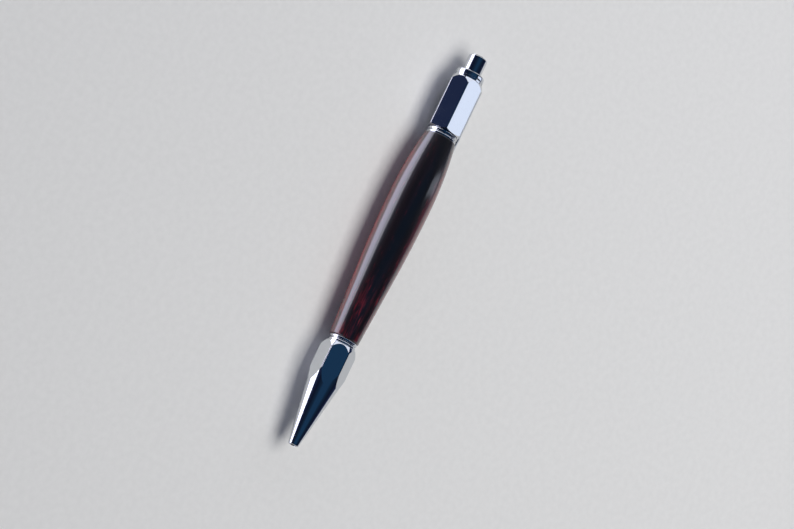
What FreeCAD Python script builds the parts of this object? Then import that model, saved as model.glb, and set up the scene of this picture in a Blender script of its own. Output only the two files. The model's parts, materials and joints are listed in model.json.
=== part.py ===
"""A push-button ball pen with a turned hardwood barrel and hexagonal chromed fittings.

The pen lies on its side along X, its tip at -X and its button at +X. It rests on the belly of the wood
and on one edge of its pocket clip. Each sub-part is modelled along its own X, with X = 0 at its front end.
"""
import FreeCAD, Part
import math
import os

import Sketcher

# Driving dimensions, in millimetres, degrees or counts.
SIZES = {
    # nose cone
    "nose_length": 34.3,
    "nose_cone_length": 24.8,
    "nose_tip_radius": 1.75,
    "nose_tip_ease": 0.3,
    "nose_opening_radius": 1.25,
    "nose_flats": 10.4,
    "nose_end_bevel": 1.9,
    "nose_roll": -21,
    "corner_ease": 0.09,
    "face_ease": 0.08,
    "spring_seat_depth": 9,
    "spring_chamber_radius": 2.5,
    # couplings and trim rings
    "thread_length": 7,
    "thread_clearance": 0.12,
    "thread_end_gap": 0.3,
    "coupling_grip": 9.5,
    "coupling_bore_radius": 3.15,
    "face_gap": 0.05,
    "slip_gap": 0.05,
    "front_ring_length": 2.3,
    "front_ring_radius": 4.35,
    "rear_ring_length": 2.2,
    "rear_ring_radius": 4.8,
    "bead_rise": 0.3,
    # barrel
    "refill_inset": 8.3,
    "wood_front_radius": 4.9,
    "wood_rear_radius": 5.35,
    "belly_radius": 7.2,
    "belly_place": 49.2,
    "taper_length": 24.8,
    "tube_radius": 4.15,
    "tube_wall": 0.3,
    # cap, collar and clip
    "cap_length": 18.6,
    "cap_flats": 10.4,
    "cap_front_bevel": 0.5,
    "cap_rear_bevel": 1.7,
    "cap_bore_radius": 3.75,
    "cap_recess_radius": 4.25,
    "cap_recess_gap": 0.5,
    "collar_length": 1.7,
    "collar_radius": 4.75,
    "collar_ease": 0.25,
    "collar_lip": 1.25,
    "clip_roll": 127,
    "clip_length": 40,
    "clip_width": 4.2,
    "clip_thickness": 0.9,
    "clip_outer_radius": 9,
    "clip_ring_radius": 4.6,
    "clip_ear_radius": 6.6,
    "clip_foot_place": 3.6,
    "clip_foot_width": 3.2,
    "clip_bend_ease": 0.7,
    "clip_edge_round": 0.2,
    # button and mechanism
    "button_proud": 6.2,
    "button_radius": 3.15,
    "button_bevel": 0.55,
    "button_flange_length": 1,
    "button_flange_radius": 3.55,
    "button_bore_depth": 6.6,
    "guide_clearance": 0.1,
    "stroke": 5.2,
    "sleeve_radius": 3.1,
    "sleeve_bore_radius": 2.55,
    "sleeve_front_gap": 1.2,
    "sleeve_flange_length": 2,
    "sleeve_rib_place": 9,
    "sleeve_rib_end_gap": 1.7,
    "sleeve_rib_height": 0.4,
    "sleeve_rib_width": 0.8,
    "rib_count": 4,
    "nut_length": 2.8,
    "nut_bore_radius": 2.2,
    "plunger_radius": 2,
    "plunger_stem_radius": 1.5,
    "plunger_fin_place": 1.8,
    "plunger_fin_end_gap": 3.5,
    "plunger_fin_width": 0.9,
    "pilot_radius": 0.8,
    "pilot_length": 2,
    "rotor_length": 8.4,
    "rotor_radius": 2.4,
    "rotor_stem_radius": 1.9,
    "rotor_stem_length": 3.5,
    "tooth_count": 8,
    "tooth_depth": 0.7,
    "tooth_gap": 0.3,
    # refill and its spring
    "refill_retract": 1.4,
    "refill_length": 98,
    "refill_radius": 2.95,
    "refill_wall": 0.35,
    "ball_radius": 0.5,
    "ball_clearance": 0.03,
    "ball_stand_out": 0.35,
    "point_length": 3.6,
    "point_cone_length": 2.2,
    "point_lip_radius": 0.57,
    "point_tail_length": 2,
    "point_tail_radius": 0.7,
    "ink_channel_radius": 0.3,
    "neck_radius": 1.15,
    "neck_length": 17,
    "shoulder_length": 1,
    "shoulder_radius": 2.2,
    "shoulder_taper": 1,
    "neck_spigot_length": 4,
    "neck_bore_radius": 0.75,
    "plug_head_length": 3.5,
    "plug_spigot_length": 2.5,
    "plug_notch_depth": 1.2,
    "plug_notch_width": 1,
    "plug_vent_radius": 0.5,
    "plug_notch_count": 4,
    "ink_length": 54,
    "spring_turns": 8,
    "spring_coil_radius": 1.8,
    "spring_wire_radius": 0.2,
    "spring_wire_sides": 12,
}

COS_30 = math.cos(math.radians(30))
X_AXIS = FreeCAD.Vector(1, 0, 0)
Y_AXIS = FreeCAD.Vector(0, 1, 0)

# The sketcher's numbers for its two axes, and for the ends and centre of a line or arc.
HORIZONTAL, VERTICAL = range(-1, -3, -1)
START, END, CENTRE = range(1, 4)


class Size:
    """A length that knows its value and the sheet's expression for it, so that arithmetic keeps both."""

    def __init__(self, value, text):
        self.value = value
        self.text = text

    @staticmethod
    def of(number):
        return number if isinstance(number, Size) else Size(float(number), f"{float(number):.9g}")

    def joined(self, other, sign, value):
        return Size(value, f"({self.text} {sign} {other.text})")

    def __add__(self, other):
        other = Size.of(other)
        return self.joined(other, "+", self.value + other.value)

    def __sub__(self, other):
        other = Size.of(other)
        return self.joined(other, "-", self.value - other.value)

    def __mul__(self, other):
        other = Size.of(other)
        return self.joined(other, "*", self.value * other.value)

    def __truediv__(self, other):
        other = Size.of(other)
        return self.joined(other, "/", self.value / other.value)


class Sizes:
    """Every driving dimension as an attribute, such as size.nose_length."""

    def __init__(self, table):
        for name, value in table.items():
            setattr(self, name, Size(float(value), f"dims.{name}"))


size = Sizes(SIZES)
doc = FreeCAD.newDocument("pen")


def make_sheet():
    """The spreadsheet that holds the driving dimensions, one alias a row."""
    sheet = doc.addObject("Spreadsheet::Sheet", "dims")
    for row, (name, value) in enumerate(SIZES.items(), start=1):
        sheet.set(f"A{row}", name)
        sheet.set(f"B{row}", str(value))
        sheet.setAlias(f"B{row}", name)
    doc.recompute()


# Sizes that follow from the driving ones.

def hex_corner_radius(flats):
    """Radius of a hexagon's eased corners."""
    return flats / 2 / COS_30 - size.corner_ease


coupling_radius = size.tube_radius - size.tube_wall - size.slip_gap
thread_bore_radius = coupling_radius + size.thread_clearance
socket_length = size.thread_length + size.thread_end_gap
collar_spigot_radius = size.cap_recess_radius - size.slip_gap
collar_seat_radius = size.button_flange_radius + size.guide_clearance
guide_radius = size.button_radius + size.guide_clearance
wood_length = (
    size.refill_retract + size.refill_length + size.refill_inset - size.nose_length - size.front_ring_length
)
belly_to_rear = wood_length - size.belly_place
belly_drop = size.belly_radius - size.wood_rear_radius
rear_arc_radius = (belly_to_rear * belly_to_rear + belly_drop * belly_drop) / (belly_drop * 2)
refill_inner_radius = size.refill_radius - size.refill_wall
shoulder_place = size.point_length + size.neck_length
tube_place = shoulder_place + size.shoulder_length + size.shoulder_taper
refill_tube_length = size.refill_length - tube_place - size.plug_head_length
pressed_shoulder = size.refill_retract + shoulder_place + size.shoulder_length - size.stroke
refill_bore_depth = pressed_shoulder - size.guide_clearance

# Stations along the pen, measured from its tip.
front_ring_at = size.nose_length
wood_at = front_ring_at + size.front_ring_length
rear_ring_at = wood_at + wood_length
cap_at = rear_ring_at + size.rear_ring_length
clip_ring_at = cap_at + size.cap_length
collar_flange_at = clip_ring_at + size.clip_thickness
button_out_at = collar_flange_at + size.collar_length
pen_length = button_out_at + size.button_proud
front_coupling_at = front_ring_at - size.thread_length
rear_coupling_at = rear_ring_at - size.coupling_grip
sleeve_flange_at = cap_at + socket_length
nut_at = sleeve_flange_at + size.sleeve_flange_length + size.face_gap
button_at = nut_at + size.nut_length + size.face_gap + size.stroke
collar_step_at = button_at + size.button_flange_length + size.face_gap
collar_at = collar_step_at - size.collar_lip
refill_end_at = size.refill_retract + size.refill_length
sleeve_at = refill_end_at + size.sleeve_front_gap
sleeve_barrel_length = sleeve_flange_at - sleeve_at
rotor_at = refill_end_at + size.face_gap
plunger_at = rotor_at + size.rotor_length + size.tooth_gap
plunger_length = nut_at - plunger_at
stem_length = button_at + size.button_bore_depth - size.face_gap - nut_at

# The pen's axis stands off the table by the belly's radius, and the box of the whole pen is centred on Y = 0.
clip_reach = (
    SIZES["clip_outer_radius"] * math.sin(math.radians(SIZES["clip_roll"]))
    + SIZES["clip_width"] / 2 * abs(math.cos(math.radians(SIZES["clip_roll"])))
)
AXIS_Y = (max(clip_reach, SIZES["belly_radius"]) - SIZES["belly_radius"]) / 2
AXIS_Z = SIZES["belly_radius"]


def seat(piece, station, roll=0.0, turn=None):
    """Put a sub-part on the pen's axis at its station from the tip, rolled about that axis."""
    rotation = FreeCAD.Rotation(X_AXIS, roll)
    if turn is not None:
        rotation = rotation.multiply(turn)
    piece.Placement = FreeCAD.Placement(FreeCAD.Vector(0, AXIS_Y, AXIS_Z), rotation)
    centred = Size.of(station) - pen_length / 2
    piece.setExpression(".Placement.Base.x", centred.text)


def origin_plane(body, role):
    """A body's own origin plane or axis."""
    return next(f for f in body.Origin.OriginFeatures if f.Role == role)


def new_body(name):
    body = doc.addObject("PartDesign::Body", name)
    body.Label = name
    return body


def new_sketch(body, name, role, offset=None):
    sketch = body.newObject("Sketcher::SketchObject", name)
    sketch.AttachmentSupport = (origin_plane(body, role), [""])
    sketch.MapMode = "FlatFace"
    if offset is not None:
        sketch.AttachmentOffset = FreeCAD.Placement(FreeCAD.Vector(0, 0, offset.value), FreeCAD.Rotation())
        sketch.setExpression(".AttachmentOffset.Base.z", offset.text)
    return sketch


def bind(sketch, kind, *where):
    """Add a constraint whose last argument is a Size, driven by the sheet."""
    length = where[-1]
    index = sketch.addConstraint(Sketcher.Constraint(kind, *where[:-1], length.value))
    sketch.setExpression(f"Constraints[{index}]", length.text)


def pin_point(sketch, geometry, end, across, up):
    """Fix one point of a sketch at a Size across and a Size up, either of which may be 0."""
    across = Size.of(across)
    up = Size.of(up)
    if abs(across.value) < 1e-9:
        sketch.addConstraint(Sketcher.Constraint("PointOnObject", geometry, end, VERTICAL))
    else:
        bind(sketch, "DistanceX", HORIZONTAL, START, geometry, end, across)
    if abs(up.value) < 1e-9:
        sketch.addConstraint(Sketcher.Constraint("PointOnObject", geometry, end, HORIZONTAL))
    else:
        bind(sketch, "DistanceY", HORIZONTAL, START, geometry, end, up)


def arc_over(start, end, radius):
    """The arc that bulges upwards between two points, drawn from the second to the first."""
    chord = end - start
    middle = (start + end) * 0.5
    inward = FreeCAD.Vector(chord.y, -chord.x, 0).normalize()
    depth = math.sqrt(max(radius**2 - (chord.Length / 2) ** 2, 0))
    centre = middle + inward * depth
    first = math.atan2(end.y - centre.y, end.x - centre.x)
    last = math.atan2(start.y - centre.y, start.x - centre.x)
    return Part.ArcOfCircle(Part.Circle(centre, FreeCAD.Vector(0, 0, 1), radius), first, last)


def draw_outline(sketch, points):
    """A closed outline through (across, up) points. A third entry is the radius of an arc to the next point."""
    places = [FreeCAD.Vector(Size.of(p[0]).value, Size.of(p[1]).value, 0) for p in points]
    ends = []
    for i, point in enumerate(points):
        start = places[i]
        end = places[(i + 1) % len(points)]
        if len(point) == 3:
            geometry = sketch.addGeometry(arc_over(start, end, point[2].value), False)
            bind(sketch, "Radius", geometry, point[2])
            ends.append((geometry, END, START))
        else:
            geometry = sketch.addGeometry(Part.LineSegment(start, end), False)
            ends.append((geometry, START, END))
    for i, point in enumerate(points):
        geometry, first, _ = ends[i]
        before, _, last = ends[i - 1]
        sketch.addConstraint(Sketcher.Constraint("Coincident", before, last, geometry, first))
        pin_point(sketch, geometry, first, point[0], point[1])


def revolve(body, sketch, name):
    turned = body.newObject("PartDesign::Revolution", name)
    turned.Profile = sketch
    turned.ReferenceAxis = (sketch, ["H_Axis"])
    turned.Angle = 360
    body.Tip = turned
    return turned


def turned_body(name, points):
    """A round piece, turned from an outline of (along, radius) points."""
    body = new_body(name)
    sketch = new_sketch(body, f"{name}_outline", "XZ_Plane")
    draw_outline(sketch, points)
    revolve(body, sketch, f"{name}_turning")
    doc.recompute()
    return body


def pad(body, sketch, name, length, both_ways=False):
    solid = body.newObject("PartDesign::Pad", name)
    solid.Profile = sketch
    solid.setExpression("Length", length.text)
    solid.Midplane = both_ways
    body.Tip = solid
    doc.recompute()
    return solid


def pocket_through(body, sketch, name):
    """Cut a sketch through the body, both ways along its normal."""
    before = body.Shape.Volume
    cut = body.newObject("PartDesign::Pocket", name)
    cut.Profile = sketch
    cut.Type = "ThroughAll"
    cut.Midplane = True
    body.Tip = cut
    doc.recompute()
    if not body.Shape.Volume < before:
        raise RuntimeError(f"{name} cuts nothing")
    return cut


def polar(body, feature, name, count):
    """Repeat a feature evenly about the pen's axis."""
    pattern = body.newObject("PartDesign::PolarPattern", name)
    pattern.Originals = [feature]
    pattern.Axis = (origin_plane(body, "X_Axis"), [""])
    pattern.Angle = 360
    pattern.setExpression("Occurrences", count.text)
    body.Tip = pattern
    doc.recompute()
    return pattern


def hexagonal(name, turning, flats, length):
    """The part of a turning that lies inside a hexagonal bar, with one flat facing +Z."""
    bar = doc.addObject("Part::Prism", f"{name}_bar")
    bar.Polygon = 6
    bar.setExpression("Circumradius", (flats / 2 / COS_30).text)
    bar.setExpression("Height", length.text)
    bar.Placement = FreeCAD.Placement(
        FreeCAD.Vector(0, 0, 0),
        FreeCAD.Rotation(X_AXIS, 30).multiply(FreeCAD.Rotation(Y_AXIS, 90)),
    )
    piece = doc.addObject("Part::Common", name)
    piece.Base = turning
    piece.Tool = bar
    piece.Label = name
    turning.Label = f"{name}_turned"
    doc.recompute()
    return piece


def make_nose_cone():
    """A hexagonal nose, turned to a long cone at the tip and bevelled like a nut at the back."""
    corner = hex_corner_radius(size.nose_flats)
    end_radius = size.nose_flats / 2 - size.face_ease
    turning = turned_body("nose_turning", [
        (0, size.nose_opening_radius),
        (0, size.nose_tip_radius - size.nose_tip_ease),
        (size.nose_tip_ease, size.nose_tip_radius),
        (size.nose_cone_length, corner),
        (size.nose_length - size.nose_end_bevel, corner),
        (size.nose_length, end_radius),
        (size.nose_length, thread_bore_radius),
        (size.nose_length - socket_length, thread_bore_radius),
        (size.nose_length - socket_length, size.coupling_bore_radius),
        (refill_bore_depth, size.coupling_bore_radius),
        (refill_bore_depth, size.spring_chamber_radius),
        (size.spring_seat_depth, size.spring_chamber_radius),
        (size.spring_seat_depth, size.nose_opening_radius),
    ])
    nose = hexagonal("nose_cone", turning, size.nose_flats, size.nose_length)
    seat(nose, -size.face_gap.value, SIZES["nose_roll"])
    return nose


def make_trim_ring(name, length, radius, station):
    """A ring of two beads with a groove between them."""
    chord = length / 2
    half = chord / 2
    bead = (half * half + size.bead_rise * size.bead_rise) / (size.bead_rise * 2)
    bore = coupling_radius + size.slip_gap
    ring = turned_body(name, [
        (0, bore),
        (0, radius, bead),
        (chord, radius, bead),
        (length, radius),
        (length, bore),
    ])
    seat(ring, station)
    return ring


def make_coupling(name, length, station):
    """A threaded bush, pressed into one end of the barrel's tube."""
    coupling = turned_body(name, [
        (0, size.coupling_bore_radius),
        (0, coupling_radius),
        (length, coupling_radius),
        (length, size.coupling_bore_radius),
    ])
    seat(coupling, station)
    return coupling


def make_barrel_tube():
    tube = turned_body("barrel_tube", [
        (0, size.tube_radius - size.tube_wall),
        (0, size.tube_radius),
        (wood_length, size.tube_radius),
        (wood_length, size.tube_radius - size.tube_wall),
    ])
    seat(tube, wood_at)
    return tube


def make_wood_barrel():
    """The turned barrel: a straight taper that runs into a long arc up to the belly, then a shorter arc down."""
    body = new_body("wood_barrel")
    sketch = new_sketch(body, "wood_outline", "XZ_Plane")
    bore = size.tube_radius + size.slip_gap
    to_belly = SIZES["belly_place"] - SIZES["taper_length"]
    rise = SIZES["belly_radius"] - SIZES["wood_front_radius"]
    front_round = (to_belly**2 / 2 + to_belly * SIZES["taper_length"]) / rise
    join_radius = SIZES["belly_radius"] - to_belly**2 / (2 * front_round)
    bore_front = FreeCAD.Vector(0, bore.value, 0)
    front = FreeCAD.Vector(0, SIZES["wood_front_radius"], 0)
    join = FreeCAD.Vector(SIZES["taper_length"], join_radius, 0)
    belly = FreeCAD.Vector(SIZES["belly_place"], SIZES["belly_radius"], 0)
    rear = FreeCAD.Vector(wood_length.value, SIZES["wood_rear_radius"], 0)
    bore_rear = FreeCAD.Vector(wood_length.value, bore.value, 0)
    front_face = sketch.addGeometry(Part.LineSegment(bore_front, front), False)
    taper = sketch.addGeometry(Part.LineSegment(front, join), False)
    front_arc = sketch.addGeometry(arc_over(join, belly, front_round), False)
    rear_arc = sketch.addGeometry(arc_over(belly, rear, rear_arc_radius.value), False)
    rear_face = sketch.addGeometry(Part.LineSegment(rear, bore_rear), False)
    bore_line = sketch.addGeometry(Part.LineSegment(bore_rear, bore_front), False)
    sketch.addConstraint([
        Sketcher.Constraint("Coincident", front_face, END, taper, START),
        Sketcher.Constraint("Tangent", taper, END, front_arc, END),
        Sketcher.Constraint("Coincident", front_arc, START, rear_arc, END),
        Sketcher.Constraint("Coincident", rear_arc, START, rear_face, START),
        Sketcher.Constraint("Coincident", rear_face, END, bore_line, START),
        Sketcher.Constraint("Coincident", bore_line, END, front_face, START),
    ])
    pin_point(sketch, front_face, START, 0, bore)
    pin_point(sketch, taper, START, 0, size.wood_front_radius)
    bind(sketch, "DistanceX", HORIZONTAL, START, taper, END, size.taper_length)
    pin_point(sketch, rear_arc, END, size.belly_place, size.belly_radius)
    pin_point(sketch, rear_face, START, wood_length, size.wood_rear_radius)
    pin_point(sketch, bore_line, START, wood_length, bore)
    bind(sketch, "DistanceX", HORIZONTAL, START, front_arc, CENTRE, size.belly_place)
    bind(sketch, "DistanceX", HORIZONTAL, START, rear_arc, CENTRE, size.belly_place)
    revolve(body, sketch, "wood_turning")
    doc.recompute()
    seat(body, wood_at)
    return body


def make_hex_cap():
    """The hexagonal cap, bevelled at both ends, bored for the coupling, the mechanism and the collar."""
    corner = hex_corner_radius(size.cap_flats)
    end_radius = size.cap_flats / 2 - size.face_ease
    recess_at = collar_at - size.cap_recess_gap - cap_at
    turning = turned_body("cap_turning", [
        (0, thread_bore_radius),
        (0, end_radius),
        (size.cap_front_bevel, corner),
        (size.cap_length - size.cap_rear_bevel, corner),
        (size.cap_length, end_radius),
        (size.cap_length, size.cap_recess_radius),
        (recess_at, size.cap_recess_radius),
        (recess_at, size.cap_bore_radius),
        (socket_length, size.cap_bore_radius),
        (socket_length, thread_bore_radius),
    ])
    cap = hexagonal("hex_cap", turning, size.cap_flats, size.cap_length)
    seat(cap, cap_at, SIZES["clip_roll"])
    return cap


def make_collar():
    """The ring that screws into the cap, holds the clip's ring and guides the button."""
    flange = collar_flange_at - collar_at
    end = flange + size.collar_length
    step = collar_step_at - collar_at
    collar = turned_body("collar", [
        (0, collar_seat_radius),
        (0, collar_spigot_radius),
        (flange, collar_spigot_radius),
        (flange, size.collar_radius),
        (end - size.collar_ease, size.collar_radius),
        (end, size.collar_radius - size.collar_ease),
        (end, guide_radius),
        (step, guide_radius),
        (step, collar_seat_radius),
    ])
    seat(collar, collar_at)
    return collar


def rectangle(sketch, left, bottom, right, top):
    """A rectangle given by two corners, as an outline."""
    draw_outline(sketch, [(left, bottom), (right, bottom), (right, top), (left, top)])


def make_clip_ring():
    """The clip's ring, held between the cap and the collar, with the ear that its arm bends from."""
    bore = size.cap_recess_radius
    body = turned_body("clip_ring", [
        (0, 0),
        (0, size.clip_ring_radius),
        (size.clip_thickness, size.clip_ring_radius),
        (size.clip_thickness, 0),
    ])
    ear = new_sketch(body, "clip_ear_outline", "YZ_Plane")
    half = size.clip_width / 2
    rectangle(ear, Size.of(0) - half, size.clip_ring_radius - bore, half, size.clip_ear_radius)
    pad(body, ear, "clip_ear", size.clip_thickness)
    hole = new_sketch(body, "clip_ring_hole", "YZ_Plane")
    circle = hole.addGeometry(Part.Circle(FreeCAD.Vector(0, 0, 0), FreeCAD.Vector(0, 0, 1), bore.value), False)
    hole.addConstraint(Sketcher.Constraint("Coincident", circle, CENTRE, HORIZONTAL, START))
    bind(hole, "Radius", circle, bore)
    pocket_through(body, hole, "clip_ring_bore")
    seat(body, clip_ring_at, SIZES["clip_roll"])
    return body


def make_clip_arm():
    """The clip's arm: a strip that runs forward from the ear, dips to the wood in a foot and turns up at its end."""
    outer = size.clip_outer_radius
    inner = outer - size.clip_thickness
    root = size.clip_length
    foot_from_belly = clip_ring_at + size.clip_thickness - root + size.clip_foot_place - wood_at - size.belly_place
    wood_there = size.belly_radius - foot_from_belly * foot_from_belly / (rear_arc_radius * 2)
    foot = wood_there + size.slip_gap * 2
    half = size.clip_foot_width / 2
    body = new_body("clip_arm")
    sketch = new_sketch(body, "clip_arm_side", "XZ_Plane")
    draw_outline(sketch, [
        (0, inner),
        (size.clip_foot_place - half, foot),
        (size.clip_foot_place + half, foot),
        (size.clip_foot_place * 2 + half, inner),
        (root - size.clip_thickness, inner),
        (root - size.clip_thickness, size.clip_ear_radius + size.face_gap),
        (root, size.clip_ear_radius + size.face_gap),
        (root, outer - size.clip_bend_ease),
        (root - size.clip_bend_ease, outer),
        (size.clip_foot_place * 2 + half, outer),
        (size.clip_foot_place + half, foot + size.clip_thickness),
        (size.clip_foot_place - half, foot + size.clip_thickness),
        (0, inner + size.clip_thickness),
    ])
    solid = pad(body, sketch, "clip_strip", size.clip_width, both_ways=True)
    sides = [
        f"Edge{i}"
        for i, edge in enumerate(solid.Shape.Edges, start=1)
        if abs(edge.CenterOfMass.y) > SIZES["clip_width"] / 4 and edge.Length > size.clip_foot_place.value
    ]
    rounds = body.newObject("PartDesign::Fillet", "clip_edges")
    rounds.Base = (solid, sides)
    rounds.setExpression("Radius", size.clip_edge_round.text)
    body.Tip = rounds
    doc.recompute()
    seat(body, collar_flange_at - root, SIZES["clip_roll"])
    return body


def make_push_button():
    """The button, with the flange that keeps it under the collar and a blind bore for the plunger's stem."""
    end = pen_length - button_at
    button = turned_body("push_button", [
        (0, size.plunger_stem_radius + size.slip_gap),
        (0, size.button_flange_radius),
        (size.button_flange_length, size.button_flange_radius),
        (size.button_flange_length, size.button_radius),
        (end - size.button_bevel, size.button_radius),
        (end, size.button_radius - size.button_bevel),
        (end, 0),
        (size.button_bore_depth, 0),
        (size.button_bore_depth, size.plunger_stem_radius + size.slip_gap),
    ])
    seat(button, button_at)
    return button


def make_cam_sleeve():
    """The mechanism's sleeve, flanged at the back, with ribs that keep the plunger from turning."""
    flange = sleeve_barrel_length
    end = flange + size.sleeve_flange_length
    flange_radius = size.cap_bore_radius - size.guide_clearance
    body = turned_body("cam_sleeve", [
        (0, size.sleeve_bore_radius),
        (0, size.sleeve_radius),
        (flange, size.sleeve_radius),
        (flange, flange_radius),
        (end, flange_radius),
        (end, size.sleeve_bore_radius),
    ])
    section = new_sketch(body, "sleeve_rib_section", "YZ_Plane", size.sleeve_rib_place)
    half = size.sleeve_rib_width / 2
    foot = size.sleeve_radius - (size.sleeve_radius - size.sleeve_bore_radius) / 2
    rectangle(section, Size.of(0) - half, size.sleeve_bore_radius - size.sleeve_rib_height, half, foot)
    rib_length = sleeve_barrel_length - size.sleeve_rib_place - size.sleeve_rib_end_gap
    rib = pad(body, section, "sleeve_rib", rib_length)
    polar(body, rib, "sleeve_ribs", size.rib_count)
    seat(body, sleeve_at)
    return body


def make_mechanism_nut():
    """The nut that holds the sleeve in the cap and stops the button at the end of its stroke."""
    radius = size.cap_bore_radius - size.slip_gap
    nut = turned_body("mechanism_nut", [
        (0, size.nut_bore_radius),
        (0, radius),
        (size.nut_length, radius),
        (size.nut_length, size.nut_bore_radius),
    ])
    seat(nut, nut_at)
    return nut


def cut_teeth(body, name, face, inward):
    """Cut a ring of V notches, as wide as they are spaced at the rotor's edge, into a face at X = face."""
    pitch = size.rotor_radius * (2 * math.pi) / size.tooth_count
    half = pitch / 4
    depth = size.tooth_depth * inward
    sketch = new_sketch(body, f"{name}_notch", "XY_Plane")
    draw_outline(sketch, [
        (Size.of(face), Size.of(0) - half),
        (Size.of(face) + depth, 0),
        (Size.of(face), half),
    ])
    notch = body.newObject("PartDesign::Pocket", f"{name}_tooth_gap")
    notch.Profile = sketch
    notch.Type = "ThroughAll"
    notch.Reversed = True
    body.Tip = notch
    doc.recompute()
    polar(body, notch, f"{name}_teeth", size.tooth_count)


def make_plunger():
    """The plunger that the button drives: a toothed head, fins that run between the sleeve's ribs, and a stem."""
    head = size.tooth_depth + size.face_gap * 6
    stem_at = size.pilot_length + plunger_length
    body = turned_body("plunger", [
        (0, 0),
        (0, size.pilot_radius),
        (size.pilot_length, size.pilot_radius),
        (size.pilot_length, size.rotor_radius),
        (size.pilot_length + head, size.rotor_radius),
        (size.pilot_length + head, size.plunger_radius),
        (stem_at, size.plunger_radius),
        (stem_at, size.plunger_stem_radius),
        (stem_at + stem_length, size.plunger_stem_radius),
        (stem_at + stem_length, 0),
    ])
    section = new_sketch(body, "plunger_fin_section", "YZ_Plane", size.pilot_length + size.plunger_fin_place)
    half = size.plunger_fin_width / 2
    rectangle(section, Size.of(0) - half, size.plunger_radius / 2, half, size.sleeve_bore_radius - size.guide_clearance)
    fin_length = plunger_length - size.plunger_fin_place - size.plunger_fin_end_gap
    fin = pad(body, section, "plunger_fin", fin_length)
    polar(body, fin, "plunger_fins", size.rib_count)
    seat(body, plunger_at - size.pilot_length, 45)
    return body


def make_cam_rotor():
    """The rotor that turns by one tooth at each click and pushes on the refill."""
    pilot_bore = size.pilot_radius + size.guide_clearance
    bore_floor = size.rotor_length - size.pilot_length - size.tooth_gap
    body = turned_body("cam_rotor", [
        (0, 0),
        (0, size.rotor_stem_radius),
        (size.rotor_stem_length, size.rotor_stem_radius),
        (size.rotor_stem_length, size.rotor_radius),
        (size.rotor_length, size.rotor_radius),
        (size.rotor_length, pilot_bore),
        (bore_floor, pilot_bore),
        (bore_floor, 0),
    ])
    cut_teeth(body, "rotor", size.rotor_length, -1)
    seat(body, rotor_at)
    return body


def make_refill_point():
    """The refill's writing point: a cone with a round socket for the ball and a tail that fits the neck."""
    turning = turned_body("point_turning", [
        (0, size.ink_channel_radius),
        (0, size.point_lip_radius),
        (size.point_cone_length, size.neck_radius),
        (size.point_length - size.ball_stand_out, size.neck_radius),
        (size.point_length - size.ball_stand_out, size.point_tail_radius),
        (size.point_length - size.ball_stand_out + size.point_tail_length, size.point_tail_radius),
        (size.point_length - size.ball_stand_out + size.point_tail_length, size.ink_channel_radius),
    ])
    socket = doc.addObject("Part::Sphere", "ball_socket")
    socket.setExpression("Radius", (size.ball_radius + size.ball_clearance).text)
    socket.setExpression(".Placement.Base.x", (size.ball_radius - size.ball_stand_out).text)
    point = doc.addObject("Part::Cut", "refill_point")
    point.Base = turning
    point.Tool = socket
    point.Label = "refill_point"
    turning.Label = "refill_point_turned"
    doc.recompute()
    seat(point, size.refill_retract + size.ball_stand_out)
    return point


def make_writing_ball():
    ball = doc.addObject("Part::Sphere", "writing_ball")
    ball.Label = "writing_ball"
    ball.setExpression("Radius", size.ball_radius.text)
    doc.recompute()
    seat(ball, size.refill_retract + size.ball_radius)
    return ball


def make_refill_neck():
    """The refill's neck, with the shoulder that the spring bears on and the spigot that closes the tube."""
    tail_end = size.point_tail_length
    shoulder = size.neck_length
    taper = shoulder + size.shoulder_length
    spigot = taper + size.shoulder_taper
    end = spigot + size.neck_spigot_length
    spigot_radius = refill_inner_radius - size.slip_gap
    neck = turned_body("refill_neck", [
        (0, size.neck_bore_radius),
        (0, size.neck_radius),
        (shoulder, size.neck_radius),
        (shoulder, size.shoulder_radius),
        (taper, size.shoulder_radius),
        (spigot, size.refill_radius),
        (spigot, spigot_radius),
        (end, spigot_radius),
        (end, size.ink_channel_radius),
        (tail_end, size.ink_channel_radius),
        (tail_end, size.neck_bore_radius),
    ])
    seat(neck, size.refill_retract + size.point_length)
    return neck


def make_refill_tube():
    tube = turned_body("refill_tube", [
        (0, refill_inner_radius),
        (0, size.refill_radius),
        (refill_tube_length, size.refill_radius),
        (refill_tube_length, refill_inner_radius),
    ])
    seat(tube, size.refill_retract + tube_place)
    return tube


def make_ink_column():
    """The paste ink behind the neck's spigot."""
    radius = refill_inner_radius - size.slip_gap
    ink = turned_body("ink_column", [
        (0, 0),
        (0, radius),
        (size.ink_length, radius),
        (size.ink_length, 0),
    ])
    seat(ink, size.refill_retract + tube_place + size.neck_spigot_length + size.face_gap)
    return ink


def make_refill_plug():
    """The vented plug at the refill's back end, notched across its face."""
    spigot_radius = refill_inner_radius - size.slip_gap
    end = size.plug_spigot_length + size.plug_head_length
    body = turned_body("refill_plug", [
        (0, size.plug_vent_radius),
        (0, spigot_radius),
        (size.plug_spigot_length, spigot_radius),
        (size.plug_spigot_length, size.refill_radius),
        (end, size.refill_radius),
        (end, size.plug_vent_radius),
    ])
    side = new_sketch(body, "plug_notch_side", "XY_Plane")
    half = size.plug_notch_width / 2
    floor = end - size.plug_notch_depth
    rectangle(side, floor, Size.of(0) - half, end, half)
    notch = body.newObject("PartDesign::Pocket", "plug_notch")
    notch.Profile = side
    notch.Type = "ThroughAll"
    notch.Reversed = True
    body.Tip = notch
    doc.recompute()
    polar(body, notch, "plug_notches", size.plug_notch_count)
    seat(body, size.refill_retract + size.refill_length - end)
    return body


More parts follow.
